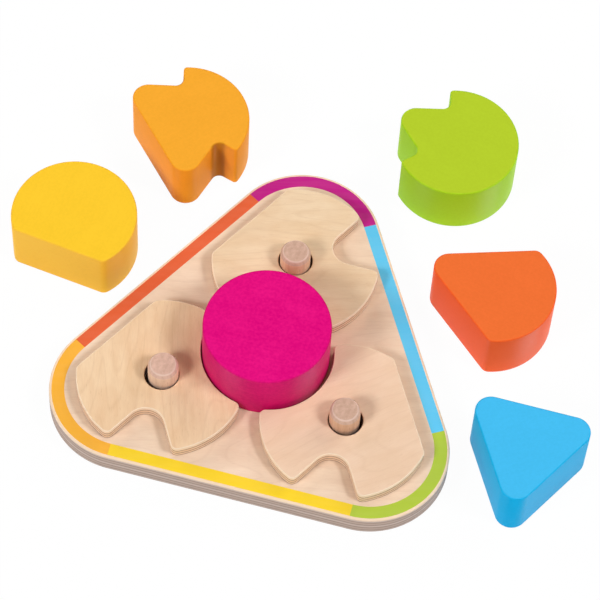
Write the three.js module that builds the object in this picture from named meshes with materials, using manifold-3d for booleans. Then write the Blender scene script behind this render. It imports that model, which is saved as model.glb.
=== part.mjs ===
// A wooden shape puzzle: a triangular plywood board with round corners, three dowel pegs glued into
// it, three plywood plates that lie loose on the pegs, and six painted blocks.
// Each plate has three working faces, a hollow arc, a flat and a notch. The three faces that look at
// the board's centre frame the seat of one block. The round block lies in its seat, and the other
// five stand on the table around the board.
// Millimetres, +Z up. The origin is the centre of the board's underside, which lies on the table.
// The board's straight front side runs along X at -Y, and its far corner points to +Y.
import * as THREE from "three";
import { mergeVertices } from "three/addons/utils/BufferGeometryUtils.js";
import Module from "manifold-3d";

// Board
const BOARD_THICKNESS = 10;
const SIDE_BORDER = 4.75; // from the plates' rims to the straight sides
const CORNER_BORDER = 11.55; // from the plates' rims to the tips of the corners
const BOARD_EASE = 0.8; // chamfer along the edges

// Pegs
const PEG_DIAMETER = 12;
const PEG_REACH = 42; // from the board's centre to each peg
const PEG_PROUD = 8; // above the plates
const PEG_CHAMFER = 1; // across the top edge
const PEG_CHAMFER_DROP = 1.9; // down the wall
const PEG_FLOOR = 3; // board left under each peg
const GLUE_GAP = 0.3; // between a peg and the wall of its blind hole

// Plates
const PLATE_THICKNESS = 5.5;
const PLATE_GAP = 6.05; // between the rims of two plates, at the closest
const PLATE_PLAY = 0.8; // between a peg and the wall of the plate's hole, all round
const PLATE_SHOVE = 0.6; // how far the plates lie pushed outwards in that play
const PLATE_EASE = 0.4;
const TIP_ROUND = 2.5; // where the rim meets the hollow arc or the notch
const FLAT_ROUND = 3; // where the rim meets the flat

// Blocks
const BLOCK_HEIGHT = 25;
const BLOCK_RADIUS = 25; // of the arc faces
const FLAT_REACH = 15.8; // from a block's centre to its flats and to its corners' sides
const CORNER_ROUND = 6.4; // of the pointed corners
const EDGE_ROUND = 3.4; // where an arc meets a flat
const STEP_ROUND = 1.4; // of the arc's end beside a corner
const NOTCH_ROUND = 3.2; // at the foot of that end
const STEP_CLEARANCE = 0.4; // from the arc's end to the rim of the next plate
const SEAT_CLEARANCE = 1.05; // between a block and the hollow arcs and notches round its seat
const FLAT_CLEARANCE = 0.55; // between a block and the flats round its seat
const BLOCK_EASE = 0.6;
const ROUND_BLOCK_SHIFT = 0.65; // how far the round block lies to the left in its seat

// The loose blocks stand beyond two of the board's sides. A gap is the clear space between a block
// and the side, and along runs counterclockwise along the side from its middle.
const YELLOW_GAP = 9.5;
const YELLOW_ALONG = 15.3;
const ORANGE_GAP = 10.8;
const ORANGE_ALONG = -48.7;
const GREEN_GAP = 13.3;
const GREEN_ALONG = 69.3;
const RED_GAP = 7.8;
const RED_ALONG = 1.2;
const BLUE_GAP = 9.5;
const BLUE_ALONG = -67.9;

// The widest gap between a round stretch and the straight steps that stand for it
const SAG = 0.03;

const DEG = Math.PI / 180;
const THIRD = 120 * DEG;
const FAR = 90 * DEG;
const LEFT = 210 * DEG;
const RIGHT = 330 * DEG;

// The faces of one block lie 120 degrees apart, counterclockwise. turn is the direction of the
// first one, and reach is how far the block comes towards the board from its own centre.
const LEFT_SIDE = 150 * DEG;
const RIGHT_SIDE = 30 * DEG;
const LOOSE_BLOCKS = [
  {
    name: "yellow_arch_block",
    color: 0xffcb2e,
    faces: ["flat", "arc", "arc"],
    place: {
      side: LEFT_SIDE,
      gap: YELLOW_GAP,
      along: YELLOW_ALONG,
      turn: -97.1 * DEG,
      reach: BLOCK_RADIUS,
    },
  },
  {
    name: "orange_two_corner_block",
    color: 0xf7a833,
    faces: ["arc", "corner", "corner"],
    place: {
      side: LEFT_SIDE,
      gap: ORANGE_GAP,
      along: ORANGE_ALONG,
      turn: 43.2 * DEG,
      reach: BLOCK_RADIUS,
    },
  },
  {
    name: "green_one_corner_block",
    color: 0xafcd2d,
    faces: ["corner", "arc", "arc"],
    place: {
      side: RIGHT_SIDE,
      gap: GREEN_GAP,
      along: GREEN_ALONG,
      turn: 163.7 * DEG,
      reach: BLOCK_RADIUS,
    },
  },
  {
    name: "red_fan_block",
    color: 0xee7437,
    faces: ["arc", "flat", "flat"],
    place: {
      side: RIGHT_SIDE,
      gap: RED_GAP,
      along: RED_ALONG,
      turn: -11.8 * DEG,
      reach: BLOCK_RADIUS,
    },
  },
  {
    name: "blue_triangle_block",
    color: 0x46c1f2,
    faces: ["corner", "corner", "corner"],
    place: {
      side: RIGHT_SIDE,
      gap: BLUE_GAP,
      along: BLUE_ALONG,
      turn: 29.9 * DEG,
      reach: FLAT_REACH,
    },
  },
];

// Sizes that follow from those above
const PLATE_RADIUS = PEG_REACH * Math.sin(60 * DEG) - PLATE_GAP / 2;
const PLATE_LIE = PEG_REACH + PLATE_SHOVE; // from the board's centre to the middle of each plate
const SEAT_RADIUS = BLOCK_RADIUS + SEAT_CLEARANCE;
const SEAT_FLAT = FLAT_REACH + FLAT_CLEARANCE;
const NOTCH_SIDE = FLAT_REACH + SEAT_CLEARANCE;
const CORNER_CENTRE = 2 * (FLAT_REACH - CORNER_ROUND); // centre of a pointed corner's arc
const STEP_OFFSET = PLATE_GAP / 2 - STEP_CLEARANCE; // from a seam between two faces to an arc's end
const BOARD_TIP = PEG_REACH + PLATE_RADIUS + CORNER_BORDER;
const BOARD_SIDE = PEG_REACH / 2 + PLATE_RADIUS + SIDE_BORDER;
const BOARD_CORNER_REACH = 2 * (BOARD_TIP - BOARD_SIDE); // centre of a corner's arc
const BOARD_CORNER_RADIUS = BOARD_TIP - BOARD_CORNER_REACH;

const BIRCH = { color: 0xeccda8, roughness: 0.6, metalness: 0 };
const BEECH = { color: 0xd7b4a0, roughness: 0.65, metalness: 0 };
const PAINT = { roughness: 0.45, metalness: 0 };

const wasm = await Module();
wasm.setup();

// Outlines

function stepsFor(radius, angle) {
  const widest = 2 * Math.acos(1 - SAG / radius);
  return Math.max(2, Math.ceil(Math.abs(angle) / widest));
}

// Points along an arc about (x, y), both ends included.
function arc(x, y, radius, from, to) {
  const steps = stepsFor(radius, to - from);
  return Array.from({ length: steps + 1 }, (_, i) => {
    const angle = from + ((to - from) * i) / steps;
    return new THREE.Vector2(x + radius * Math.cos(angle), y + radius * Math.sin(angle));
  });
}

function circle(radius) {
  return arc(0, 0, radius, 0, 2 * Math.PI);
}

function turned(points, angle) {
  const middle = new THREE.Vector2();
  return points.map((point) => point.clone().rotateAround(middle, angle));
}

// The same stretch on the other side of the X axis, run the other way.
function mirrored(points) {
  return points.map((point) => new THREE.Vector2(point.x, -point.y)).reverse();
}

// A closed outline without points that lie on the one before.
function outline(points) {
  const apart = points.filter((point, i) => point.distanceTo(points.at(i - 1)) > SAG / 10);
  return new THREE.Shape(apart);
}

// A triangle with round corners: three arcs of one radius, joined by straight sides.
function boardOutline() {
  const corners = [FAR, LEFT, RIGHT].map((direction) =>
    arc(
      BOARD_CORNER_REACH * Math.cos(direction),
      BOARD_CORNER_REACH * Math.sin(direction),
      BOARD_CORNER_RADIUS,
      direction - THIRD / 2,
      direction + THIRD / 2,
    ),
  );
  return outline(corners.flat());
}

// The rounded edge where the arc at `radius` about the middle meets a flat at `reach` along X,
// from the middle of the flat round to the arc.
function flatToArc(reach, radius, round) {
  const across = Math.sqrt((radius - round) ** 2 - (reach - round) ** 2);
  return arc(reach - round, across, round, 0, Math.atan2(across, reach - round));
}

// Beside a pointed corner the next arc ends in a step, square to the corner's side. The seam
// between the two faces runs along X here, and the corner's side crosses it at FLAT_REACH.
function cornerToArc() {
  const foot = arc(
    FLAT_REACH + NOTCH_ROUND,
    STEP_OFFSET + NOTCH_ROUND,
    NOTCH_ROUND,
    Math.PI,
    1.5 * Math.PI,
  );
  const up = STEP_OFFSET - STEP_ROUND;
  const out = Math.sqrt((BLOCK_RADIUS - STEP_ROUND) ** 2 - up ** 2);
  const end = arc(out, up, STEP_ROUND, Math.PI / 2, Math.atan2(up, out));
  return [...foot, ...end];
}

// One face of a block, from the seam before it to the seam after it, with its middle along X.
function blockFace(face, before, after) {
  const half = THIRD / 2;
  if (face === "arc") {
    const first = before === "arc" ? [] : arcStart(before);
    const last = after === "arc" ? [] : mirrored(arcStart(after));
    const from = first.length ? first.at(-1).angle() - 2 * Math.PI : -half;
    const to = last.length ? last[0].angle() : half;
    return [...first, ...arc(0, 0, BLOCK_RADIUS, from, to), ...last];
  }
  if (face === "flat") {
    const side = [new THREE.Vector2(FLAT_REACH, 0)];
    if (after !== "flat") return side;
    const seam = arc(CORNER_CENTRE, 0, CORNER_ROUND, -half, half);
    return [...side, ...turned(seam, half)];
  }
  return arc(CORNER_CENTRE, 0, CORNER_ROUND, -half, half);
}

// How an arc begins after a flat or a corner, seen from the middle of the arc.
function arcStart(before) {
  if (before === "flat") {
    return turned(flatToArc(FLAT_REACH, BLOCK_RADIUS, EDGE_ROUND), -THIRD);
  }
  const step = cornerToArc().map((point) => new THREE.Vector2(point.x, -point.y));
  return turned(step, -THIRD / 2);
}

function blockOutline(faces) {
  const points = faces.map((face, i) =>
    turned(blockFace(face, faces.at(i - 1), faces[(i + 1) % 3]), i * THIRD),
  );
  return outline(points.flat());
}

// The second half of each working face of a plate, from the face's middle out to the rim. The
// plate's hole is at the origin and the board's centre lies PEG_REACH away along X.
const PLATE_FACES = {
  arc() {
    const rim = PLATE_RADIUS - TIP_ROUND;
    const seat = SEAT_RADIUS + TIP_ROUND;
    const x = (PEG_REACH ** 2 + rim ** 2 - seat ** 2) / (2 * PEG_REACH);
    const y = Math.sqrt(rim ** 2 - x ** 2);
    const hollow = arc(PEG_REACH, 0, SEAT_RADIUS, Math.PI, Math.atan2(y, x - PEG_REACH));
    return [...hollow, ...arc(x, y, TIP_ROUND, Math.atan2(-y, PEG_REACH - x), Math.atan2(y, x))];
  },
  flat() {
    const reach = PEG_REACH - SEAT_FLAT;
    return [new THREE.Vector2(reach, 0), ...flatToArc(reach, PLATE_RADIUS, FLAT_ROUND)];
  },
  notch() {
    const apex = arc(PEG_REACH - CORNER_CENTRE, 0, CORNER_ROUND + SEAT_CLEARANCE, Math.PI, THIRD);
    const normal = new THREE.Vector2(Math.cos(THIRD), Math.sin(THIRD));
    const along = new THREE.Vector2(normal.y, -normal.x);
    const depth = NOTCH_SIDE + TIP_ROUND + PEG_REACH * normal.x;
    const reach = Math.sqrt((PLATE_RADIUS - TIP_ROUND) ** 2 - depth ** 2);
    const tip = along.multiplyScalar(reach).addScaledVector(normal, depth);
    return [...apex, ...arc(tip.x, tip.y, TIP_ROUND, -THIRD / 2, tip.angle())];
  },
};

// A plate's outline: its faces lie 120 degrees apart, counterclockwise, joined by the rim.
function plateOutline(faces) {
  const stretches = faces.map((face, i) => {
    const half = PLATE_FACES[face]();
    return turned([...mirrored(half), ...half], i * THIRD);
  });
  const points = stretches.flatMap((stretch, i) => {
    const from = stretch.at(-1).angle();
    const to = stretches[(i + 1) % 3][0].angle();
    const sweep = (to - from + 2 * Math.PI) % (2 * Math.PI);
    return [...stretch, ...arc(0, 0, PLATE_RADIUS, from, from + sweep)];
  });
  return outline(points);
}

// Solids

// An outline raised from z = 0, with its edges chamfered.
function slab(shape, height, ease) {
  const options = {
    depth: height - 2 * ease,
    bevelThickness: ease,
    bevelSize: ease,
    bevelOffset: -ease,
    bevelSegments: 1,
  };
  return new THREE.ExtrudeGeometry(shape, options).translate(0, 0, ease);
}

// A profile of [radius, height] points turned about Z.
function turnedSolid(profile) {
  const points = profile.map(([radius, height]) => new THREE.Vector2(radius, height));
  const widest = Math.max(...points.map((point) => point.x));
  const segments = stepsFor(widest, 2 * Math.PI);
  return new THREE.LatheGeometry(points, segments).rotateX(Math.PI / 2);
}

function toManifold(geometry) {
  const bare = geometry.clone().deleteAttribute("normal").deleteAttribute("uv");
  const merged = mergeVertices(bare);
  return new wasm.Manifold(
    new wasm.Mesh({
      numProp: 3,
      vertProperties: merged.getAttribute("position").array,
      triVerts: new Uint32Array(merged.index.array),
    }),
  );
}

function toGeometry(solid) {
  const { vertProperties, triVerts } = solid.getMesh();
  const geometry = new THREE.BufferGeometry();
  geometry.setAttribute("position", new THREE.BufferAttribute(vertProperties, 3));
  geometry.setIndex(new THREE.BufferAttribute(triVerts, 1));
  geometry.computeVertexNormals();
  return geometry;
}

// The board, with a blind hole for each peg.
function boardGeometry() {
  const radius = PEG_DIAMETER / 2 + GLUE_GAP;
  const mouth = BOARD_THICKNESS + GLUE_GAP;
  const bore = turnedSolid([
    [0, PEG_FLOOR],
    [radius, PEG_FLOOR],
    [radius, mouth],
    [0, mouth],
  ]);
  let board = toManifold(slab(boardOutline(), BOARD_THICKNESS, BOARD_EASE));
  for (const direction of [FAR, LEFT, RIGHT]) {
    const x = PEG_REACH * Math.cos(direction);
    const y = PEG_REACH * Math.sin(direction);
    board = board.subtract(toManifold(bore.clone().translate(x, y, 0)));
  }
  return toGeometry(board);
}

function pegGeometry() {
  const radius = PEG_DIAMETER / 2;
  const top = BOARD_THICKNESS - PEG_FLOOR + PLATE_THICKNESS + PEG_PROUD;
  return turnedSolid([
    [0, 0],
    [radius, 0],
    [radius, top - PEG_CHAMFER_DROP],
    [radius - PEG_CHAMFER, top],
    [0, top],
  ]);
}

function plateGeometry(faces) {
  const shape = plateOutline(faces);
  shape.holes.push(new THREE.Path(circle(PEG_DIAMETER / 2 + PLATE_PLAY).slice(1)));
  return slab(shape, PLATE_THICKNESS, PLATE_EASE);
}

function blockGeometry(faces) {
  return slab(blockOutline(faces), BLOCK_HEIGHT, BLOCK_EASE);
}

// Assembly

const puzzle = new THREE.Group();

function addPiece(name, geometry, material, position, turn = 0) {
  const piece = new THREE.Mesh(geometry, new THREE.MeshStandardMaterial(material));
  piece.name = name;
  piece.position.copy(position);
  piece.rotation.z = turn;
  puzzle.add(piece);
}

// A point at a distance from the board's centre.
function at(distance, direction, height) {
  const x = distance * Math.cos(direction);
  const y = distance * Math.sin(direction);
  return new THREE.Vector3(x, y, height);
}

addPiece("base_board", boardGeometry(), BIRCH, new THREE.Vector3());

// Every plate turns its hollow arc to the centre. The left one lies the other way up, so its flat
// and its notch have changed places.
const PLATES = [
  { side: "far", direction: FAR, faces: ["arc", "notch", "flat"] },
  { side: "left", direction: LEFT, faces: ["arc", "flat", "notch"] },
  { side: "right", direction: RIGHT, faces: ["arc", "notch", "flat"] },
];
for (const { side, direction, faces } of PLATES) {
  addPiece(`${side}_peg`, pegGeometry(), BEECH, at(PEG_REACH, direction, PEG_FLOOR));
  const seat = at(PLATE_LIE, direction, BOARD_THICKNESS);
  addPiece(`${side}_plate`, plateGeometry(faces), BIRCH, seat, direction + Math.PI);
}

const roundSeat = new THREE.Vector3(-ROUND_BLOCK_SHIFT, 0, BOARD_THICKNESS);
const magenta = { color: 0xe8157f, ...PAINT };
addPiece("magenta_round_block", blockGeometry(["arc", "arc", "arc"]), magenta, roundSeat);

for (const { name, color, faces, place } of LOOSE_BLOCKS) {
  const along = at(place.along, place.side + Math.PI / 2, 0);
  const position = at(BOARD_SIDE + place.gap + place.reach, place.side, 0).add(along);
  addPiece(name, blockGeometry(faces), { color, ...PAINT }, position, place.turn);
}

export default puzzle;
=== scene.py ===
import math

import bmesh
import bpy
import numpy as np
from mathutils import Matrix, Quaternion, Vector


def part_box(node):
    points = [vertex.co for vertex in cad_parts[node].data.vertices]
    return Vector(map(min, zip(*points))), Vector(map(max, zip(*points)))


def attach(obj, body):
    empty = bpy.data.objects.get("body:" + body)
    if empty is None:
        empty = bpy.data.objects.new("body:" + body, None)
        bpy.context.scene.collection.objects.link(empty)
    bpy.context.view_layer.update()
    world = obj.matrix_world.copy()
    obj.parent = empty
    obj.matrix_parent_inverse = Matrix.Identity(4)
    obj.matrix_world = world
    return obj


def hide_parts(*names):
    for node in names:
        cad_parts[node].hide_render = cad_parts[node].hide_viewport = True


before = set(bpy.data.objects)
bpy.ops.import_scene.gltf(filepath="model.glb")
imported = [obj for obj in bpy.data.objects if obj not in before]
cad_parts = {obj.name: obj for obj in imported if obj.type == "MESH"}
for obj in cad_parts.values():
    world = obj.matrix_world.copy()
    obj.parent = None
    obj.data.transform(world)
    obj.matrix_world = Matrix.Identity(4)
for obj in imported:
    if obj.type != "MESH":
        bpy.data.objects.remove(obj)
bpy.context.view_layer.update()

MM = 0.001
DEG = math.pi / 180
THIRD = 120 * DEG
SIXTH = 60 * DEG

# Board: three round corners joined by straight sides, with a printed border near its edge.
BOARD_CORNER_REACH = 55.6 * MM
BOARD_CORNER_RADIUS = 31.298 * MM
BOARD_EASE = 0.8 * MM
BORDER_MARGIN = 1.0 * MM
BORDER_WIDTH = 5.0 * MM
STRIP_WIDTH = 7.0 * MM
BOARD_PLIES = 5
BOARD_GRAIN = 15 * DEG
CORNER_STEPS = 64
SIDE_STEPS = 48
SPOKE_STEPS = 20

# Pegs, glued into blind holes.
PEG_CHAMFER = 1.0 * MM
PEG_CHAMFER_DROP = 1.9 * MM
PEG_SOFTENING = 0.5 * MM
LOWER_EDGE_STEPS = 3
UPPER_EDGE_STEPS = 4
HOLE_GAP = 0.12 * MM
# Width of the dark ring of painted shade on the board round each peg, where the gap beside the peg lies in
# shade.
SHADE_RING_WIDTH = 1.2 * MM

# Plates: three faces each, a hollow arc, a flat and a notch, round the peg's hole.
PEG_REACH = 42.0 * MM
PLATE_RADIUS = 33.348 * MM
PLATE_PLAY = 0.8 * MM
PLATE_EASE = 0.4 * MM
PLATE_PLIES = 3
TIP_ROUND = 2.5 * MM
FLAT_ROUND = 3.0 * MM
SEAT_RADIUS = 25.55 * MM
SOLID_SEAT_RADIUS = 26.05 * MM
SEAT_FLAT = 16.35 * MM
NOTCH_SIDE = 16.85 * MM
NOTCH_APEX = 7.45 * MM

# Blocks: three faces each, an arc, a flat or a pointed corner.
BLOCK_RADIUS = 25.0 * MM
FLAT_REACH = 15.8 * MM
CORNER_CENTRE = 18.8 * MM
CORNER_ROUND = 6.4 * MM
EDGE_ROUND = 3.4 * MM
STEP_OFFSET = 2.625 * MM
STEP_ROUND = 1.4 * MM
NOTCH_ROUND = 3.2 * MM
# How far the painted shade in a block's hollow corners reaches along the wall.
HOLLOW_SHADE_REACH = 1.2 * MM
BLOCK_EASE = 0.6 * MM

# Fineness of the surfaces. The shares say where a flat face has rows of points, on the way from its middle
# or one rim to the next rim.
ARC_STEP = 0.5 * MM
ARC_MIN_STEPS = 3
STRAIGHT_STEP = 1.0 * MM
EASE_STEPS = 5
SUPPORT = 0.15 * MM
MERGE = 2e-6
TINY = 1e-6
FACE_SHARES = (0.0, 0.35, 0.7)
UNDERSIDE_SHARES = (0.0, 0.5)
FIELD_SHARES = (0.0, 0.35, 0.65, 0.85, 1.0)
PLATE_SHARES = (0.25, 0.5, 0.75)
HOLE_SHARES = (0.02, 1.0)
HOLE_FLOOR_SHARES = (0.9, 0.0)

# Camera, found from the outlines in the photograph.
EYE = Vector((128.18, -574.29, 1078.4)) * MM
AIM = Vector((5.72, 28.56, 10.0)) * MM
ROLL = 3.79 * DEG
LENS = 186.58
SENSOR = 36.0
CLIP_END = 50.0


def srgb(red, green, blue):
    """A colour written as screen values from 0 to 255, as linear red, green, blue and alpha."""
    part = np.array([red, green, blue]) / 255
    linear = np.where(part <= 0.04045, part / 12.92, ((part + 0.055) / 1.055) ** 2.4)
    return (*linear.tolist(), 1.0)


def tinted(colours, tint):
    """The same colours, with their red, green and blue times the three factors of a tint."""
    return [(red * tint[0], green * tint[1], blue * tint[2], 1.0) for red, green, blue, _ in colours]


# Outlines are arrays with a row for each point: x, y and the normal that points out of the piece.

def arc(centre, radius, start, end, hollow=False):
    """Points centre + radius * (cos a, sin a) for angles a from start to end. The normal is the
    radius' own direction, or its opposite where the piece lies outside the circle."""
    steps = max(ARC_MIN_STEPS, math.ceil(abs(end - start) * radius / ARC_STEP))
    angle = np.linspace(start, end, steps + 1)
    out = np.stack([np.cos(angle), np.sin(angle)], axis=1)
    return np.hstack([np.array(centre) + radius * out, -out if hollow else out])


def turned(outline, angle):
    """Points and normals rotated about the origin by one angle."""
    spin = np.array([[math.cos(angle), math.sin(angle)], [-math.sin(angle), math.cos(angle)]])
    return np.hstack([outline[:, :2] @ spin, outline[:, 2:] @ spin])


def mirrored(outline):
    """Points and normals reflected in the X axis, in reversed order so that they still run leftwards."""
    return outline[::-1] * [1, -1, 1, -1]


def closed(outline):
    """The outline without repeated points, and with its straight runs cut into equal short steps."""
    gap = np.linalg.norm(np.roll(outline, -1, axis=0)[:, :2] - outline[:, :2], axis=1)
    outline = outline[gap > MERGE]
    count = np.ceil(gap[gap > MERGE] / STRAIGHT_STEP).astype(int)
    start = np.repeat(np.cumsum(count) - count, count)
    part = ((np.arange(count.sum()) - start) / np.repeat(count, count))[:, None]
    here = np.repeat(outline, count, axis=0)
    ahead = np.repeat(np.roll(outline, -1, axis=0), count, axis=0)
    return here + (ahead - here) * part


def from_halves(halves):
    """A whole outline from (angle, half before, half after) for each face: the half that comes before
    the face's axis is the mirror image of one drawn after it."""
    faces = [turned(np.vstack([mirrored(before), after]), angle) for angle, before, after in halves]
    return closed(np.vstack(faces))


def block_half(face, neighbour):
    """Half a block's face from its axis, along X, to its seam with the neighbour at 60 degrees."""
    if face == "corner":
        return arc((CORNER_CENTRE, 0), CORNER_ROUND, 0, SIXTH)
    edge_x = FLAT_REACH - EDGE_ROUND
    edge_y = math.sqrt((BLOCK_RADIUS - EDGE_ROUND) ** 2 - edge_x**2)
    edge_angle = math.atan2(edge_y, edge_x)
    if face == "flat" and neighbour == "arc":
        return arc((edge_x, edge_y), EDGE_ROUND, 0, edge_angle)
    if face == "flat":
        seam = (CORNER_CENTRE * math.cos(SIXTH), CORNER_CENTRE * math.sin(SIXTH))
        return arc(seam, CORNER_ROUND, 0, SIXTH)
    if neighbour == "arc":
        return arc((0, 0), BLOCK_RADIUS, 0, SIXTH)
    if neighbour == "flat":
        return arc((0, 0), BLOCK_RADIUS, 0, THIRD - edge_angle)
    # Beside a corner the arc ends in a small round, a step and a hollow foot.
    up = STEP_OFFSET - STEP_ROUND
    out = math.sqrt((BLOCK_RADIUS - STEP_ROUND) ** 2 - up**2)
    end = math.atan2(up, out)
    foot = (FLAT_REACH + NOTCH_ROUND, STEP_OFFSET + NOTCH_ROUND)
    step = [arc((out, up), STEP_ROUND, end, math.pi / 2),
            arc(foot, NOTCH_ROUND, 1.5 * math.pi, math.pi, True)]
    return np.vstack([arc((0, 0), BLOCK_RADIUS, 0, SIXTH + end), turned(np.vstack(step), SIXTH)])


def block_outline(faces, turn):
    """A block's outline: its three faces 120 degrees apart, the first one turned to the angle turn."""
    halves = [(turn + k * THIRD, block_half(faces[k], faces[k - 1]), block_half(faces[k], faces[(k + 1) % 3]))
              for k in range(3)]
    return from_halves(halves)


def plate_half(face, seat_radius):
    """Half a plate's face from its axis, along X with the hole's centre at the origin, to 60 degrees:
    the face itself, a small round at its tip and a stretch of the round rim."""
    if face == "flat":
        x = PEG_REACH - SEAT_FLAT - FLAT_ROUND
        y = math.sqrt((PLATE_RADIUS - FLAT_ROUND) ** 2 - x**2)
        runs = [arc((x, y), FLAT_ROUND, 0, math.atan2(y, x))]
    elif face == "arc":
        rim = PLATE_RADIUS - TIP_ROUND
        seat = seat_radius + TIP_ROUND
        x = (PEG_REACH**2 + rim**2 - seat**2) / (2 * PEG_REACH)
        y = math.sqrt(rim**2 - x**2)
        runs = [arc((PEG_REACH, 0), seat_radius, math.pi, math.atan2(y, x - PEG_REACH), True),
                arc((x, y), TIP_ROUND, math.atan2(-y, PEG_REACH - x), math.atan2(y, x))]
    else:
        depth = NOTCH_SIDE + TIP_ROUND + PEG_REACH * math.cos(THIRD)
        reach = math.sqrt((PLATE_RADIUS - TIP_ROUND) ** 2 - depth**2)
        x = reach * math.cos(THIRD - math.pi / 2) + depth * math.cos(THIRD)
        y = reach * math.sin(THIRD - math.pi / 2) + depth * math.sin(THIRD)
        runs = [arc((PEG_REACH - CORNER_CENTRE, 0), NOTCH_APEX, math.pi, THIRD, True),
                arc((x, y), TIP_ROUND, THIRD - math.pi, math.atan2(y, x))]
    return np.vstack([*runs, arc((0, 0), PLATE_RADIUS, math.atan2(y, x), SIXTH)])


def plate_outline(faces, seat_radius):
    """A plate's outline from its faces and the directions in degrees that they look to, and the radius of
    its hollow arc."""
    halves = [(angle, plate_half(face, seat_radius)) for face, angle in faces]
    return from_halves([(angle * DEG, half, half) for angle, half in halves])


def board_outline():
    """The board's outline and, beside each point, its place along the border's six stretches: corner
    arcs of 120 degrees and the straight sides between them, both in even steps."""
    angle = np.linspace(-SIXTH, SIXTH, CORNER_STEPS + 1)
    out = np.stack([np.cos(angle), np.sin(angle)], axis=1)
    corner = np.hstack([np.array([BOARD_CORNER_REACH, 0]) + BOARD_CORNER_RADIUS * out, out])
    corners = [turned(corner, 90 * DEG + k * THIRD) for k in range(3)]
    part = np.linspace(0, 1, SIDE_STEPS + 1)[1:-1, None]
    points = []
    place = []
    for k in range(3):
        points += [corners[k], corners[k][-1] + (corners[(k + 1) % 3][0] - corners[k][-1]) * part]
        place += [2 * k + np.linspace(0, 1, CORNER_STEPS + 1), 2 * k + 1 + part[:, 0]]
    return np.vstack(points), np.concatenate(place)


def settled(outline, node):
    """The outline's shift that brings the middle of its box to the middle of the CAD node's box."""
    low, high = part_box(node)
    middle = (outline[:, :2].min(axis=0) + outline[:, :2].max(axis=0)) / 2
    return np.array([(low.x + high.x) / 2, (low.y + high.y) / 2]) - middle


# A patch is a grid of points, rows by columns, with a finish number for each strip of faces between two
# rows, a UV grid, and the printed colour of each face or none. Columns run leftwards round a piece, and
# rows run up its wall and inwards on top.

def ring(outline, shift, inset, height, scale=1.0):
    """One row: the outline moved inwards along its normals by inset, drawn towards its origin by scale,
    laid at its shift and at one height. Its first point is repeated at its end."""
    flat = (outline[:, :2] - outline[:, 2:] * inset) * scale + shift
    row = np.hstack([flat, np.full((len(flat), 1), height)])
    return np.vstack([row, row[:1]])


def ease(radius, start, end):
    """Inset and height of a quarter round, as pairs: radius * (1 - cos a) and radius * sin a."""
    angle = np.linspace(start, end, EASE_STEPS + 1)
    return np.stack([radius * (1 - np.cos(angle)), radius * np.sin(angle)], axis=1)


def eased_wall(low, high, radius):
    """Inset and height up a wall with a quarter round at its foot and at its head, and one more point
    beside each round that keeps the flat faces flat."""
    foot = ease(radius, -math.pi / 2, 0) + [0, low + radius]
    head = ease(radius, 0, math.pi / 2) + [0, high - radius]
    flat = radius + SUPPORT
    return np.vstack([[flat, low], foot, head, [flat, high]])


def peg_profile(low, high):
    """Inset and height up a peg: a chamfered foot, the wall, and a chamfer at the top whose two edges are
    small arcs that touch the lines on both sides. The row where the chamfer starts comes with it."""
    slope = math.atan2(PEG_CHAMFER_DROP, PEG_CHAMFER)
    lean = math.pi / 2 - slope
    foot = [[PEG_CHAMFER, low], [PEG_CHAMFER / 2, low + PEG_CHAMFER / 2], [0, low + PEG_CHAMFER]]
    back = PEG_SOFTENING * math.tan(lean / 2)
    turn = np.linspace(0, lean, LOWER_EDGE_STEPS + 1)
    lower = np.stack([PEG_SOFTENING * (1 - np.cos(turn)),
                      high - PEG_CHAMFER_DROP - back + PEG_SOFTENING * np.sin(turn)], axis=1)
    back = PEG_SOFTENING * math.tan(slope / 2)
    turn = np.linspace(lean, math.pi / 2, UPPER_EDGE_STEPS + 1)
    upper = np.stack([PEG_CHAMFER + back - PEG_SOFTENING * np.cos(turn),
                      high - PEG_SOFTENING + PEG_SOFTENING * np.sin(turn)], axis=1)
    profile = np.vstack([foot, lower, upper, [upper[-1, 0] + SUPPORT, high]])
    return profile, len(foot) + len(lower) - 1


def way_round(rows):
    """UV: the share of the way round in u, and zero in v."""
    u = np.broadcast_to(np.linspace(0, 1, rows.shape[1]), rows.shape[:2])
    return np.stack([u, np.zeros(rows.shape[:2])], axis=-1)


def make_piece(name, patches, materials):
    """A mesh of grid patches: each cell between two rows and two columns is one face, and points that
    fall together, at poles, seams and shared rims, are merged."""
    points, faces, finishes, places, inks, count = [], [], [], [], [], 0
    for grid, finish, uv, ink in patches:
        index = count + np.arange(grid.shape[0] * grid.shape[1]).reshape(grid.shape[:2])
        cells = [index[:-1, :-1], index[:-1, 1:], index[1:, 1:], index[1:, :-1]]
        quads = np.stack(cells, axis=-1).reshape(-1, 4)
        faces.append(quads)
        points.append(grid.reshape(-1, 3))
        finishes.append(np.repeat(finish, grid.shape[1] - 1))
        places.append(uv.reshape(-1, 2)[quads.ravel() - count])
        inks.append(np.repeat(np.zeros((len(quads), 4)) if ink is None else ink.reshape(-1, 4), 4, axis=0))
        count += index.size
    faces = np.vstack(faces)
    mesh = bpy.data.meshes.new(name)
    mesh.from_pydata(np.vstack(points).tolist(), [], faces.tolist())
    mesh.polygons.foreach_set("material_index", np.concatenate(finishes).astype(np.int32))
    mesh.polygons.foreach_set("use_smooth", np.ones(len(faces), dtype=bool))
    mesh.uv_layers.new(name="place").data.foreach_set("uv", np.vstack(places).ravel())
    if np.any(inks[0]):
        printed = mesh.color_attributes.new(name="border_ink", type="FLOAT_COLOR", domain="CORNER")
        printed.data.foreach_set("color", np.vstack(inks).ravel())
    work = bmesh.new()
    work.from_mesh(mesh)
    bmesh.ops.remove_doubles(work, verts=work.verts, dist=MERGE)
    work.to_mesh(mesh)
    work.free()
    piece = bpy.data.objects.new(name, mesh)
    bpy.context.scene.collection.objects.link(piece)
    for material in materials:
        mesh.materials.append(material)
    return piece


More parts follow.
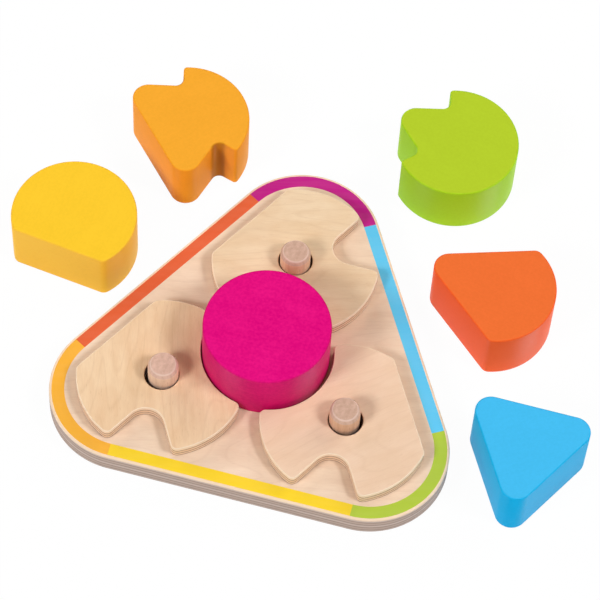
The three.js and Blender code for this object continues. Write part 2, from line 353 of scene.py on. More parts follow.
def hollow_share(outline):
    """How far each point lies in a hollow corner: 1 where the outline bends inwards, that is where its
    normals turn rightwards, and exp(-(d / HOLLOW_SHADE_REACH)^2) at a distance d along the outline from there."""
    ahead = np.roll(outline, -1, axis=0)
    bend = outline[:, 2] * ahead[:, 3] - outline[:, 3] * ahead[:, 2]
    step = np.linalg.norm(ahead[:, :2] - outline[:, :2], axis=1)
    along = np.cumsum(step) - step
    bent = along[bend < -TINY]
    if not len(bent):
        return np.zeros(len(outline))
    apart = np.abs(along[:, None] - bent)
    apart = np.minimum(apart, step.sum() - apart).min(axis=1)
    return np.exp(-(apart / HOLLOW_SHADE_REACH) ** 2)


def solid_patch(outline, shift, profile):
    """A closed solid: the outline carried along the profile's insets and heights, from the middle of the
    underside up the wall to the middle of the top. In UV, u is the share of a hollow corner, and v is 1 on
    the wall and 0 on the flat faces."""
    (first, low), (last, high) = profile[0], profile[-1]
    rows = [ring(outline, shift, first, low, share) for share in FACE_SHARES]
    rows += [ring(outline, shift, inset, height) for inset, height in profile]
    rows += [ring(outline, shift, last, high, share) for share in FACE_SHARES[::-1]]
    rows = np.stack(rows)
    side = np.zeros(len(rows))
    side[len(FACE_SHARES):-len(FACE_SHARES)] = np.clip(1 - profile[:, 0] / min(first, last), 0, 1)
    hollow = hollow_share(outline)
    hollow = np.append(hollow, hollow[0])
    place = np.stack(np.broadcast_arrays(hollow, side[:, None]), axis=-1)
    return rows, np.zeros(len(rows) - 1, dtype=int), place, None


# Node helpers: a node's inputs are given as values or as the sockets that feed them.

def add(tree, kind, inputs=None, **settings):
    """A new node of one kind, with its settings and inputs."""
    made = tree.nodes.new(kind)
    for key, value in settings.items():
        setattr(made, key, value)
    for key, value in (inputs or {}).items():
        if isinstance(value, bpy.types.NodeSocket):
            tree.links.new(value, made.inputs[key])
        else:
            made.inputs[key].default_value = value
    return made


def maths(tree, operation, first, second=0.0):
    """The result of one Math node."""
    return add(tree, "ShaderNodeMath", {0: first, 1: second}, operation=operation).outputs[0]


def weighted(tree, values, weights):
    """The sum of named values, each times its weight."""
    parts = [maths(tree, "MULTIPLY", values[key], weight) for key, weight in weights.items()]
    total = parts[0]
    for part in parts[1:]:
        total = maths(tree, "ADD", total, part)
    return total


def spread(tree, value, low, high, to_low=0.0, to_high=1.0):
    """A value mapped smoothly from one range to another and held inside it."""
    inputs = {"Value": value, "From Min": low, "From Max": high, "To Min": to_low, "To Max": to_high}
    return add(tree, "ShaderNodeMapRange", inputs, interpolation_type="SMOOTHSTEP").outputs["Result"]


def blend(tree, factor, first, second):
    """Two colours mixed by a factor. A Mix node's colours are its inputs 6 and 7 and its output 2."""
    inputs = {0: factor, 6: first, 7: second}
    return add(tree, "ShaderNodeMix", inputs, data_type="RGBA").outputs[2]


def seen(tree):
    """One for rays from the camera, from reflections and through glass, and zero for the rest."""
    path = add(tree, "ShaderNodeLightPath").outputs
    either = maths(tree, "MAXIMUM", path["Is Camera Ray"], path["Is Glossy Ray"])
    return maths(tree, "MAXIMUM", either, path["Is Transmission Ray"])


def stretched_noise(tree, vector, scale, detail, distortion):
    """Noise whose spots are as many to the metre along X, Y and Z as scale says."""
    mapped = add(tree, "ShaderNodeMapping", {"Vector": vector, "Scale": scale}).outputs[0]
    inputs = {"Vector": mapped, "Scale": 1.0, "Detail": detail, "Distortion": distortion}
    return add(tree, "ShaderNodeTexNoise", inputs).outputs["Fac"]


def new_group(name, values, results):
    """An empty node group that takes a vector and named values, and puts out named values."""
    tree = bpy.data.node_groups.new(name, "ShaderNodeTree")
    tree.interface.new_socket("Vector", in_out="INPUT", socket_type="NodeSocketVector")
    for key in values:
        tree.interface.new_socket(key, in_out="INPUT", socket_type="NodeSocketFloat")
    for key in results:
        tree.interface.new_socket(key, in_out="OUTPUT", socket_type="NodeSocketFloat")
    return tree, tree.nodes.new("NodeGroupInput").outputs, tree.nodes.new("NodeGroupOutput").inputs


def use_group(tree, group, inputs):
    """The outputs of a node that places a group."""
    return add(tree, "ShaderNodeGroup", inputs, node_tree=group).outputs


def put_out_noises(tree, vector, noises, result):
    """Each noise of a table, with a part of its range spread over 0 to 1, as an output of the group."""
    made = {}
    for key, scale, detail, distortion, low, high in noises:
        made[key] = spread(tree, stretched_noise(tree, vector, scale, detail, distortion), low, high)
        tree.links.new(made[key], result[key])
    return made


# Noises: output, spots to the metre along X, Y and Z, detail, distortion, and the part of the range that
# is spread over 0 to 1.
VENEER_NOISES = [
    ("Figure", (14, 85, 85), 3.0, 0.8, 0.32, 0.68),
    ("Blotch", (75, 130, 130), 3.0, 0.4, 0.32, 0.68),
    ("Streak", (45, 360, 360), 3.0, 0.3, 0.3, 0.7),
    ("Fibre", (260, 2200, 2200), 2.0, 0.0, 0.3, 0.7),
    ("Pore", (500, 2300, 2300), 1.0, 0.0, 0.66, 0.78),
]
PLY_NOISES = [
    ("Streak", (240, 240, 2600), 3.0, 0.0, 0.3, 0.7),
]
PAINT_NOISES = [
    ("Cloud", (70, 110, 110), 3.0, 0.0, 0.3, 0.7),
    ("Speck", (900, 900, 900), 2.0, 0.0, 0.3, 0.7),
    ("Fibre", (90, 1500, 1500), 2.0, 0.0, 0.3, 0.7),
]
PAINT_HEIGHT = {"Speck": 0.6, "Fibre": 1.0}
BEECH_NOISES = [
    ("Streak", (900, 900, 40), 3.0, 0.0, 0.3, 0.7),
    ("Fleck", (3200, 3200, 500), 1.0, 0.0, 0.58, 0.76),
]

# Growth lines: the slow noise, how many lines its height makes, and how far a line fades out, as a share of
# the distance between lines.
GROWTH_NOISE = ((9, 42, 42), 1.5, 0.2)
GROWTH_LINES = 16.0
GROWTH_FADE = 0.16

# Plywood's edge: the noise by which the layers wander and how far, in layers, and a glue line's half width,
# without and with its fading, in layers. The glue lines end, and so does the painted contact shade at the
# foot, between two heights that are shares of the thickness.
WANDER_NOISE = ((60, 60, 60), 2.0, 0.0)
WANDER = 0.25
GLUE_WIDTH = (0.06, 0.2)
GLUE_END = (0.84, 0.9)
FOOT_SHADE_END = (0.06, 0.17)


def veneer_group():
    """Rotary-cut veneer with its grain along X: broad figure, streaks and fine fibres, each a noise that
    is much longer along the grain than across it, soft blotches of any direction, short dark pores, and
    growth lines, which are contour lines of a slow noise: thin where it crosses a step of its height."""
    tree, given, result = new_group("veneer_grain", [],
                                    ["Figure", "Blotch", "Streak", "Fibre", "Pore", "Line"])
    put_out_noises(tree, given["Vector"], VENEER_NOISES, result)
    slow = stretched_noise(tree, given["Vector"], *GROWTH_NOISE)
    line = maths(tree, "PINGPONG", maths(tree, "MULTIPLY", slow, GROWTH_LINES), 0.5)
    tree.links.new(spread(tree, line, 0.0, GROWTH_FADE, 1.0, 0.0), result["Line"])
    return tree


def ply_group():
    """Plywood's edge: layer = height / thickness * plies. Every second layer is end grain, and a dark
    glue line lies where the layer's number comes near a whole one, but not at the top. Streaks run level,
    and the foot is darkened as painted contact shade."""
    tree, given, result = new_group("ply_layers", ["Bottom", "Thickness", "Plies"],
                                    ["End grain", "Glue", "Streak", "Foot shade"])
    vector = given["Vector"]
    height = add(tree, "ShaderNodeSeparateXYZ", {0: vector}).outputs["Z"]
    up = maths(tree, "DIVIDE", maths(tree, "SUBTRACT", height, given["Bottom"]), given["Thickness"])
    wander = maths(tree, "SUBTRACT", stretched_noise(tree, vector, *WANDER_NOISE), 0.5)
    layer = maths(tree, "MULTIPLY", up, given["Plies"])
    layer = maths(tree, "ADD", layer, maths(tree, "MULTIPLY", wander, WANDER))
    parity = maths(tree, "FLOORED_MODULO", maths(tree, "FLOOR", layer), 2.0)
    saw = maths(tree, "PINGPONG", layer, 1.0)
    near = maths(tree, "MINIMUM", saw, maths(tree, "SUBTRACT", 1.0, saw))
    line = spread(tree, near, *GLUE_WIDTH, 1.0, 0.0)
    below = spread(tree, up, *GLUE_END, 1.0, 0.0)
    put_out_noises(tree, vector, PLY_NOISES, result)
    tree.links.new(parity, result["End grain"])
    tree.links.new(maths(tree, "MULTIPLY", line, below), result["Glue"])
    tree.links.new(spread(tree, up, *FOOT_SHADE_END, 1.0, 0.0), result["Foot shade"])
    return tree


def paint_group():
    """Painted wood: slow cloudy mottling, a fine grain of the roller and the wood's own fibres along X
    that show faintly through the coat."""
    tree, given, result = new_group("painted_wood", [], ["Cloud", "Speck", "Fibre", "Height"])
    made = put_out_noises(tree, given["Vector"], PAINT_NOISES, result)
    tree.links.new(weighted(tree, made, PAINT_HEIGHT), result["Height"])
    return tree


def beech_group():
    """Turned beech dowel with its grain along Z: short dark flecks down the wall, long faint streaks, and
    curved growth lines with pores that show on the end."""
    tree, given, result = new_group("beech_grain", [], ["Streak", "Fleck", "Ring"])
    vector = given["Vector"]
    put_out_noises(tree, vector, BEECH_NOISES, result)
    inputs = {"Vector": vector, "Scale": 110.0, "Distortion": 4.0, "Detail": 3.0, "Detail Scale": 2.0}
    tree.links.new(add(tree, "ShaderNodeTexWave", inputs).outputs["Fac"], result["Ring"])
    return tree


VENEER = veneer_group()
PLY = ply_group()
PAINT = paint_group()
BEECH = beech_group()


def new_material(name, roughness, specular):
    """A material with one Principled shader, and the piece's own coordinates."""
    material = bpy.data.materials.new(name)
    material.use_nodes = True
    tree = material.node_tree
    shader = tree.nodes["Principled BSDF"]
    shader.inputs["Roughness"].default_value = roughness
    shader.inputs["Specular IOR Level"].default_value = specular
    return material, tree, shader, add(tree, "ShaderNodeTexCoord").outputs["Object"]


def bumped(tree, shader, height, distance, strength):
    """A bump on the shader's normal."""
    made = add(tree, "ShaderNodeBump", {"Height": height, "Distance": distance, "Strength": strength})
    tree.links.new(made.outputs[0], shader.inputs["Normal"])


def grain_vector(tree, vector, centre, angle):
    """Coordinates about a centre, turned so that the grain's direction comes to lie along X."""
    away = tuple(-c for c in centre)
    moved = add(tree, "ShaderNodeMapping", {"Vector": vector, "Location": away}).outputs[0]
    return add(tree, "ShaderNodeMapping", {"Vector": moved, "Rotation": (0, 0, -angle)}).outputs[0]


# What the patterns weigh in a tone between two colours, and how far marks go to a darker or paler colour.
VENEER_TONE = {"Figure": 0.4, "Blotch": 0.35, "Streak": 0.25}
VENEER_MARKS = {"Fibre": 0.08, "Pore": 0.18, "Line": 0.1}
INK_STREAKS = 0.03
PLY_TONE = {"End grain": 0.7, "Streak": 0.3}
GLUE_SHARE = 0.85
BEECH_TONE = {"Streak": 0.7, "Ring": 0.3}
FLECK_SHARE = 0.3
PAINT_TONE = {"Cloud": 0.3, "Speck": 0.5, "Fibre": 0.2}
PALER_FADE = 0.09

# The pale ring on a peg's end, wear and a painted highlight: half its width, whole and with its fading, and
# how far it goes to its tone.
RING_WEAR_HIGHLIGHT_CORE = 0.05 * MM
RING_WEAR_HIGHLIGHT_REACH = 0.4 * MM
RING_WEAR_HIGHLIGHT_SHARE = 0.65


def veneer_colour(tree, vector, tones, contrast):
    """Veneer's colour: pale to mid by its figure, blotches and streaks, towards dark in fibres, pores and
    growth lines."""
    pale, mid, dark = tones
    grain = use_group(tree, VENEER, {"Vector": vector})
    tone = maths(tree, "MULTIPLY", weighted(tree, grain, VENEER_TONE), contrast)
    tone = maths(tree, "ADD", tone, 0.5 * (1 - contrast))
    marks = maths(tree, "MULTIPLY", weighted(tree, grain, VENEER_MARKS), contrast)
    return blend(tree, marks, blend(tree, tone, pale, mid), dark), grain


def veneer_material(name, centre, angle, tones, contrast):
    """A plain face of veneer."""
    material, tree, shader, vector = new_material(name, roughness=0.58, specular=0.3)
    colour, grain = veneer_colour(tree, grain_vector(tree, vector, centre, angle), tones, contrast)
    tree.links.new(colour, shader.inputs["Base Color"])
    height = maths(tree, "SUBTRACT", grain["Fibre"], grain["Pore"])
    bumped(tree, shader, height, distance=0.05 * MM, strength=0.35)
    return material


def ply_material(name, low, high, plies, tones, foot):
    """The sawn and sanded edge of plywood between two heights, with painted contact shade that darkens its
    foot by the share foot.
    """
    material, tree, shader, vector = new_material(name, roughness=0.7, specular=0.1)
    pale, end_grain, glue = tones
    inputs = {"Vector": vector, "Bottom": low, "Thickness": high - low, "Plies": float(plies)}
    layers = use_group(tree, PLY, inputs)
    wood = blend(tree, weighted(tree, layers, PLY_TONE), pale, end_grain)
    # Dark glue lines, and painted contact shade at the foot.
    dark = maths(tree, "MAXIMUM", maths(tree, "MULTIPLY", layers["Glue"], GLUE_SHARE),
                 maths(tree, "MULTIPLY", layers["Foot shade"], foot))
    tree.links.new(blend(tree, dark, wood, glue), shader.inputs["Base Color"])
    height = maths(tree, "SUBTRACT", layers["Streak"], layers["Glue"])
    bumped(tree, shader, height, distance=0.08 * MM, strength=0.4)
    return material


def board_face_material(name, tones):
    """The board's faces: veneer, covered where the faces carry a printed colour, by its alpha."""
    material, tree, shader, vector = new_material(name, roughness=0.55, specular=0.2)
    local = grain_vector(tree, vector, (0, 0, 0), BOARD_GRAIN)
    wood, grain = veneer_colour(tree, local, tones, FIELD_CONTRAST)
    ink = add(tree, "ShaderNodeAttribute", attribute_name="border_ink").outputs
    shade = blend(tree, maths(tree, "MULTIPLY", grain["Streak"], INK_STREAKS), ink["Color"], wood)
    tree.links.new(blend(tree, ink["Alpha"], wood, shade), shader.inputs["Base Color"])
    height = maths(tree, "SUBTRACT", grain["Fibre"], grain["Pore"])
    bumped(tree, shader, height, distance=0.04 * MM, strength=0.3)
    return material


def beech_material(name, centre, tones, rim=None):
    """A dowel's wall, or its end with a paler ring, wear and a painted highlight, where the flat end meets
    the
    chamfer: the ring covers distances from the axis near the flat end's radius."""
    material, tree, shader, vector = new_material(name, roughness=0.6, specular=0.1)
    pale, mid, dark = tones
    local = grain_vector(tree, vector, centre, 0.0)
    grain = use_group(tree, BEECH, {"Vector": local})
    base = blend(tree, weighted(tree, grain, BEECH_TONE), pale, mid)
    colour = blend(tree, maths(tree, "MULTIPLY", grain["Fleck"], FLECK_SHARE), base, dark)
    if rim:
        level = add(tree, "ShaderNodeMapping", {"Vector": local, "Scale": (1, 1, 0)}).outputs[0]
        reach = add(tree, "ShaderNodeVectorMath", {0: level}, operation="LENGTH").outputs["Value"]
        off = maths(tree, "ABSOLUTE", maths(tree, "SUBTRACT", reach, PEG_RADIUS - PEG_CHAMFER))
        colour = blend(tree, spread(tree, off, RING_WEAR_HIGHLIGHT_CORE, RING_WEAR_HIGHLIGHT_REACH, RING_WEAR_HIGHLIGHT_SHARE, 0.0), colour, rim)
    tree.links.new(colour, shader.inputs["Base Color"])
    height = maths(tree, "SUBTRACT", grain["Streak"], grain["Fleck"])
    bumped(tree, shader, height, distance=0.04 * MM, strength=0.3)
    return material


def recoloured(tree, colour, value, saturation=1.0):
    """A colour with its value and its saturation times a factor each."""
    inputs = {"Color": colour, "Value": value, "Saturation": saturation}
    return add(tree, "ShaderNodeHueSaturation", inputs).outputs[0]


def paint_material(name, centre, angle, top, side, gloss, mottle, hollow):
    """A coat of satin paint: one tone on the flat faces and another on the wall (v says which), the wall's
    tone being painted shade and light for how the lamps fall on walls, both a little lighter and darker in
    clouds and specks. In the wall's hollow corners (u says how far) the coat is darker: painted shade."""
    material, tree, shader, vector = new_material(name, roughness=0.38, specular=gloss)
    coat = use_group(tree, PAINT, {"Vector": grain_vector(tree, vector, centre, angle)})
    uv = add(tree, "ShaderNodeUVMap", uv_map="place").outputs[0]
    place = add(tree, "ShaderNodeSeparateXYZ", {0: uv}).outputs
    # Painted shade: the coat goes darker in the wall's hollow corners.
    painted_corner_shade = maths(tree, "MULTIPLY", maths(tree, "MULTIPLY", place["X"], place["Y"]), hollow)
    base = recoloured(tree, blend(tree, place["Y"], top, side), maths(tree, "SUBTRACT", 1.0, painted_corner_shade))
    darker = recoloured(tree, base, 1.0 - mottle)
    lighter = recoloured(tree, base, 1.0 + mottle, 1.0 - PALER_FADE * mottle)
    colour = blend(tree, weighted(tree, coat, PAINT_TONE), darker, lighter)
    tree.links.new(colour, shader.inputs["Base Color"])
    bumped(tree, shader, coat["Height"], distance=0.03 * MM, strength=0.3)
    return material


def middle_of(node):
    """The middle of a CAD node's box."""
    low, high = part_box(node)
    return (low + high) / 2


def dress(piece, body, node):
    """The piece moves with a body and stands for a CAD node, which it hides."""
    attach(piece, body)
    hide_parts(node)


# Colours: a pale, a middle and a dark tone of each wood, and on edges the tones of plies, end grain and glue.
FIELD = (srgb(248, 222, 195), srgb(236, 205, 176), srgb(198, 154, 122))
FAR_VENEER = (srgb(243, 216, 181), srgb(232, 198, 158), srgb(198, 154, 112))
LEFT_VENEER = (srgb(246, 214, 175), srgb(234, 195, 153), srgb(198, 152, 110))
RIGHT_VENEER = (srgb(245, 213, 184), srgb(235, 199, 166), srgb(204, 159, 124))
BOARD_EDGE = (srgb(206, 186, 173), srgb(189, 166, 151), srgb(150, 124, 110))
PLATE_EDGE = (srgb(252, 224, 194), srgb(236, 202, 170), srgb(150, 108, 82))
# Plates' eased top rim: paler from wear and from a painted highlight.
PALE_RIM_WEAR_AND_HIGHLIGHT = (srgb(250, 226, 197), srgb(246, 217, 185), srgb(218, 180, 146))
# Painted shade: dark tones inside the plates' holes and on the board round each peg.
DARK_HOLE_SHADE = (srgb(118, 70, 40), srgb(98, 56, 32), srgb(74, 40, 22))
PEG_WALL = (srgb(232, 194, 168), srgb(218, 178, 152), srgb(190, 142, 116))
PEG_END = (srgb(222, 184, 162), srgb(204, 165, 143), srgb(176, 132, 112))
# The pale ring on a peg's end: wear and a painted highlight.
PEG_RIM = srgb(238, 208, 192)
MARGIN = (*srgb(251, 221, 188)[:3], 0.8)
INKS = [srgb(190, 20, 132), srgb(226, 98, 55), srgb(247, 178, 56), srgb(251, 213, 42), srgb(180, 203, 64),
        srgb(96, 200, 240)]

# How far the painted contact shade at the foot of an edge goes to its dark tone, and how strong the grain is.
BOARD_FOOT_SHADE = 0.3
PLATE_FOOT_SHADE = 0.95
HOLE_FOOT_SHADE = 0.5
FIELD_CONTRAST = 1.0
RIM_CONTRAST = 0.5

# Finish numbers in the order of the materials: those of the board and the plates, and those of the pegs.
FACE, EDGE, RIM, HOLE = range(4)
WALL, END = range(2)

# Board: a strip from the middle of its underside, up its edge and over its border.
board_low, board_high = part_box("base_board")
outline, stretch = board_outline()
wall = eased_wall(board_low.z, board_high.z, BOARD_EASE)
strip_insets = [BORDER_MARGIN, BORDER_MARGIN + BORDER_WIDTH, STRIP_WIDTH]
strip = [ring(outline, 0, wall[0, 0], board_low.z, share) for share in UNDERSIDE_SHARES]
strip += [ring(outline, 0, inset, height) for inset, height in wall[:-1]]
strip += [ring(outline, 0, inset, board_high.z) for inset in strip_insets]
strip = np.stack(strip)
foot_row = len(UNDERSIDE_SHARES) + 1
strip_finish = np.full(len(strip) - 1, FACE)
strip_finish[foot_row:foot_row + EASE_STEPS + 1] = EDGE
# The margin starts on the upper part of the rounding, and the border is the last strip but one.
strip_ink = np.zeros((len(strip) - 1, len(stretch), 4))
strip_ink[-EASE_STEPS - 1:-2] = MARGIN
strip_ink[-2] = np.array(INKS)[np.floor(stretch + TINY).astype(int)]
patches = [(strip, strip_finish, way_round(strip), strip_ink)]

# The field inside the border: a third of it round each peg, with a dark ring of painted shade round the hole,
# and the blind hole.
peg_low, peg_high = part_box("far_peg")
PEG_RADIUS = (peg_high.x - peg_low.x) / 2
COLUMNS = CORNER_STEPS + SIDE_STEPS
inner_line = strip[-1][:-1]
centre = np.array([0, 0, board_high.z])
part = np.linspace(0, 1, SPOKE_STEPS + 1)[1:, None]
for k, side in enumerate(("far", "left", "right")):
    axis = middle_of(f"{side}_peg")
    start = k * COLUMNS - SIDE_STEPS // 2
    bow = inner_line[np.arange(start, start + COLUMNS + 1) % len(inner_line)]
    third = np.vstack([bow, bow[-1] + (centre - bow[-1]) * part, centre + (bow[0] - centre) * part])
    hub = np.array([axis.x, axis.y, board_high.z])
    spoke = third - hub
    spoke = spoke / np.linalg.norm(spoke, axis=1, keepdims=True)
    shade_ring_edge = hub + spoke * (PEG_RADIUS + SHADE_RING_WIDTH)
    hole = hub + spoke * (PEG_RADIUS + HOLE_GAP)
    sink = hole + [0, 0, peg_low.z - board_high.z]
    hole_floor = np.array([axis.x, axis.y, peg_low.z])
    rows = [third + (shade_ring_edge - third) * share for share in FIELD_SHARES] + [hole]
    rows += [hole + (sink - hole) * share for share in HOLE_SHARES]
    rows += [hole_floor + (sink - hole_floor) * share for share in HOLE_FLOOR_SHARES]
    rows = np.stack(rows)
    finish = np.full(len(rows) - 1, EDGE)
    finish[:len(FIELD_SHARES)] = FACE
    finish[len(FIELD_SHARES) - 1] = RIM
    patches.append((rows, finish, way_round(rows), None))
face = board_face_material("birch_face_with_border", FIELD)
edge = ply_material("birch_ply_edge", board_low.z, board_high.z, BOARD_PLIES, BOARD_EDGE, BOARD_FOOT_SHADE)
# The ring round each peg is painted shade.
gap_shade = veneer_material("peg_gap_painted_shade", (0, 0, 0), BOARD_GRAIN, DARK_HOLE_SHADE, FIELD_CONTRAST)
dress(make_piece("birch_board", patches, [face, edge, gap_shade]), "board", "base_board")

# Pegs: side, and tints of the wall and the end.
PEGS = [
    ("far", (1.05, 1.0, 0.92), (0.93, 0.93, 0.93)),
    ("left", (1.08, 1.13, 1.13), (1.06, 1.06, 1.09)),
    ("right", (0.94, 0.86, 0.75), (0.97, 0.98, 0.97)),
]
for side, wall_tint, end_tint in PEGS:
    node = f"{side}_peg"
    low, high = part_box(node)
    axis = middle_of(node)
    profile, end_row = peg_profile(low.z, high.z)
    circle = arc((0, 0), PEG_RADIUS, 0, 2 * math.pi)[:-1]
    rows, finish, uv, ink = solid_patch(circle, np.array([axis.x, axis.y]), profile)
    finish[:len(FACE_SHARES) + end_row] = WALL
    finish[len(FACE_SHARES) + end_row:] = END
    beech = [beech_material(f"{side}_beech_wall", axis, tinted(PEG_WALL, wall_tint)),
             beech_material(f"{side}_beech_end", axis, tinted(PEG_END, end_tint), PEG_RIM)]
    piece = make_piece(f"{side}_beech_peg", [(rows, finish, uv, ink)], beech)
    dress(piece, "board", node)

# Plates: side, faces with the directions in degrees that they look to, the grain's direction, tones and
# contrast.
PLATES = [
    ("far", [("notch", 30), ("flat", 150), ("arc", 270)], 15 * DEG, FAR_VENEER, 1.15),
    ("left", [("arc", 30), ("flat", 150), ("notch", 270)], 105 * DEG, LEFT_VENEER, 1.25),
    ("right", [("flat", 30), ("arc", 150), ("notch", 270)], 42 * DEG, RIGHT_VENEER, 0.9),
]
for side, faces, grain, tones, contrast in PLATES:
    node = f"{side}_plate"
    low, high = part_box(node)
    outline = plate_outline(faces, SEAT_RADIUS)
    shift = settled(plate_outline(faces, SOLID_SEAT_RADIUS), node)
    wall = eased_wall(low.z, high.z, PLATE_EASE)
    outer = np.stack([ring(outline, shift, inset, height) for inset, height in wall])
    hub = np.append(shift, 0)
    spoke = (outer[0] - hub) * [1, 1, 0]
    spoke = spoke / np.linalg.norm(spoke, axis=1, keepdims=True)
    hole_radius = PEG_RADIUS + PLATE_PLAY
    inner = np.stack([hub + spoke * (hole_radius + inset) + [0, 0, height] for inset, height in wall[::-1]])
    across = np.array(PLATE_SHARES)[:, None, None]
    top = outer[-1] + (inner[0] - outer[-1]) * across
    under = inner[-1] + (outer[0] - inner[-1]) * across
    rows = np.concatenate([outer, top, inner, under, outer[:1]])
    hole_row = len(outer) + len(PLATE_SHARES) + EASE_STEPS
    finish = np.full(len(rows) - 1, FACE)
    finish[1:EASE_STEPS + 2] = EDGE
    finish[EASE_STEPS + 2:2 * EASE_STEPS + 2] = RIM
    finish[hole_row:hole_row + EASE_STEPS] = HOLE
    middle = middle_of(node)
    veneer = veneer_material(f"{side}_birch_veneer", middle, grain, tones, contrast)
    edge = ply_material(f"{side}_plate_edge", low.z, high.z, PLATE_PLIES, PLATE_EDGE, PLATE_FOOT_SHADE)
    # The rim's paler tone: wear, and a painted highlight along the eased top edge.
    wear_and_highlight = veneer_material(f"{side}_rim_wear_and_highlight", middle, grain, PALE_RIM_WEAR_AND_HIGHLIGHT, RIM_CONTRAST)
    # The hole's wall is painted dark as shade.
    hole_shade = ply_material(f"{side}_hole_painted_shade", low.z, high.z, PLATE_PLIES, DARK_HOLE_SHADE, HOLE_FOOT_SHADE)
    patch = (rows, finish, way_round(rows), None)
    piece = make_piece(f"{side}_birch_plate", [patch], [veneer, edge, wear_and_highlight, hole_shade])
    dress(piece, node, node)

# Blocks: node, faces, turn in degrees, slot, colours of the flat faces and of the wall, whose colour is
# painted shade and light, gloss, mottling, and how much painted shade darkens the coat in hollow corners.
BLOCKS = [
    ("magenta_round_block", ("arc", "arc", "arc"), 0, "magenta_paint",
     (0.78, 0.001, 0.20, 1), (0.66, 0.003, 0.14, 1), 0.034, 0.1, 0.0),
    ("yellow_arch_block", ("flat", "arc", "arc"), -97.1, "yellow_paint",
     (0.99, 0.60, 0.028, 1), (1.0, 0.555, 0.042, 1), 0.03, 0.03, 0.0),
    ("orange_two_corner_block", ("arc", "corner", "corner"), 43.2, "orange_paint",
     (0.94, 0.405, 0.03, 1), (0.97, 0.36, 0.018, 1), 0.025, 0.03, 0.42),
    ("green_one_corner_block", ("corner", "arc", "arc"), 163.7, "green_paint",
     (0.46, 0.61, 0.025, 1), (0.385, 0.70, 0.012, 1), 0.05, 0.03, 0.1),
    ("red_fan_block", ("arc", "flat", "flat"), -11.8, "red_orange_paint",
     (0.87, 0.163, 0.033, 1), (1.0, 0.12, 0.018, 1), 0.052, 0.03, 0.0),
    ("blue_triangle_block", ("corner", "corner", "corner"), 29.9, "blue_paint",
     (0.06, 0.51, 0.87, 1), (0.0, 0.435, 0.79, 1), 0.024, 0.03, 0.0),
]
for node, faces, turn, slot, top, wall, gloss, mottle, hollow in BLOCKS:
    low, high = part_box(node)
    outline = block_outline(faces, turn * DEG)
    patch = solid_patch(outline, settled(outline, node), eased_wall(low.z, high.z, BLOCK_EASE))
    paint = paint_material(f"{slot}_coat", middle_of(node), turn * DEG, top, wall, gloss, mottle, hollow)
    dress(make_piece(f"{node}_painted", [patch], [paint]), node, node)

# Floor: white where it is seen, with a share of its own shading that keeps the shadow.
FLOOR_HALF = 6.0
FLOOR_DROP = 0.05 * MM
FLOOR_GLOW = 0.97
FLOOR_BOUNCE = 0.95
floor_mesh = bpy.data.meshes.new("table_top")
corner = np.array([[-1, -1], [1, -1], [1, 1], [-1, 1]]) * FLOOR_HALF
floor_mesh.from_pydata(np.hstack([corner, np.full((4, 1), -FLOOR_DROP)]).tolist(), [], [[0, 1, 2, 3]])
floor_piece = bpy.data.objects.new("table_top", floor_mesh)
bpy.context.scene.collection.objects.link(floor_piece)
material = bpy.data.materials.new("white_table")
material.use_nodes = True
tree = material.node_tree
tree.nodes.remove(tree.nodes["Principled BSDF"])
white = add(tree, "ShaderNodeEmission", {"Color": (1, 1, 1, 1), "Strength": 1.0})
matt = add(tree, "ShaderNodeBsdfDiffuse", {"Color": (1, 1, 1, 1)})
grey = add(tree, "ShaderNodeBsdfDiffuse", {"Color": (FLOOR_BOUNCE, FLOOR_BOUNCE, FLOOR_BOUNCE, 1)})
shown = add(tree, "ShaderNodeMixShader", {0: FLOOR_GLOW, 1: matt.outputs[0], 2: white.outputs[0]})
both = add(tree, "ShaderNodeMixShader", {0: seen(tree), 1: grey.outputs[0], 2: shown.outputs[0]})
tree.links.new(both.outputs[0], tree.nodes["Material Output"].inputs["Surface"])
floor_mesh.materials.append(material)

# World: an even pale light, white where it is seen.
WORLD_LIGHT = 0.07
world = bpy.data.worlds.new("studio")
bpy.context.scene.world = world
world.use_nodes = True
tree = world.node_tree
tree.nodes.clear()
soft = add(tree, "ShaderNodeBackground", {"Color": (1, 1, 1, 1), "Strength": WORLD_LIGHT})
plain = add(tree, "ShaderNodeBackground", {"Color": (1, 1, 1, 1), "Strength": 1.0})
both = add(tree, "ShaderNodeMixShader", {0: seen(tree), 1: soft.outputs[0], 2: plain.outputs[0]})
tree.links.new(both.outputs[0], add(tree, "ShaderNodeOutputWorld").inputs["Surface"])


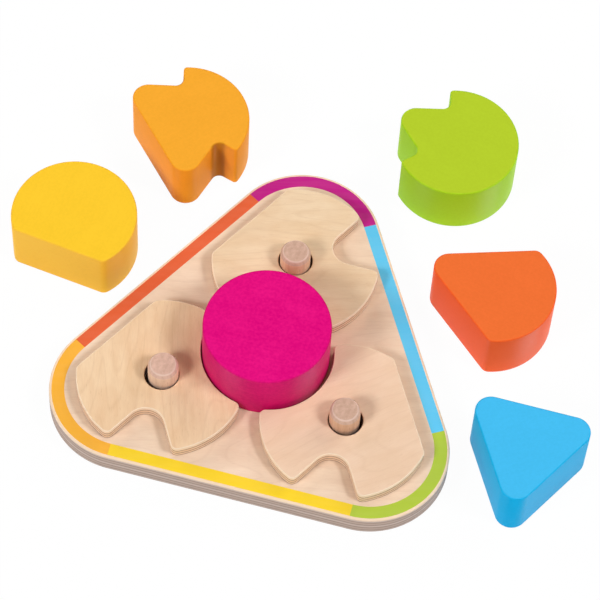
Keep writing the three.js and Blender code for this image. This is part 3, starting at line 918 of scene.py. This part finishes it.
def soft_box(name, azimuth, elevation, distance, size, watts, colour):
    """A square lamp that looks at the board's middle, from a direction given in degrees: azimuth from +X
    towards +Y, and elevation above the table."""
    lamp = bpy.data.lights.new(name, "AREA")
    lamp.color = colour
    lamp.size = size
    lamp.energy = watts
    holder = bpy.data.objects.new(name, lamp)
    flat = math.cos(elevation * DEG)
    way = Vector((flat * math.cos(azimuth * DEG), flat * math.sin(azimuth * DEG), math.sin(elevation * DEG)))
    holder.location = way * distance
    holder.rotation_euler = (-way).to_track_quat("-Z", "Y").to_euler()
    bpy.context.scene.collection.objects.link(holder)
    return holder


# Lamps: name, azimuth, elevation, distance, size, watts and colour. The two main ones are a little cool and
# most of the others a little warm, so the shadows turn warm.
COOL = (0.98, 1.0, 1.035)
WARM = (1.04, 1.0, 0.93)
LAMPS = [
    ("left_soft_box", 231, 40, 2.6, 0.68, 36.2, COOL),
    ("right_soft_box", -10, 49, 2.6, 0.62, 30.2, COOL),
    ("back_right_soft_box", 53, 34, 1.3, 0.55, 4.0, WARM),
    ("back_left_soft_box", 145, 26, 1.3, 0.8, 4.2, WARM),
    ("top_soft_box", 90, 82, 1.5, 1.0, 0.7, WARM),
    ("low_right_soft_box", -20, 9, 2.6, 1.0, 4.2, COOL),
]
for row in LAMPS:
    soft_box(*row)
# The main lamps' mirror images in the shiny table only show as a sheen on walls.
TABLE_GLARES = [
    ("left_table_glare", 231, -42, 2.6, 1.0, 18.0, COOL),
    ("right_table_glare", -6, -48, 2.6, 1.0, 14.0, COOL),
]
for row in TABLE_GLARES:
    glare = soft_box(*row)
    glare.data.use_shadow = False
    glare.data.cycles.use_multiple_importance_sampling = False
    glare.visible_diffuse = False

# Camera.
lens = bpy.data.cameras.new("photo_camera")
lens.lens = LENS
lens.sensor_width = SENSOR
lens.clip_end = CLIP_END
camera = bpy.data.objects.new("photo_camera", lens)
camera.location = EYE
camera.rotation_mode = "QUATERNION"
camera.rotation_quaternion = (AIM - EYE).to_track_quat("-Z", "Y") @ Quaternion((0, 0, 1), ROLL)
bpy.context.scene.collection.objects.link(camera)
bpy.context.scene.camera = camera
bpy.context.scene.view_settings.view_transform = "Standard"
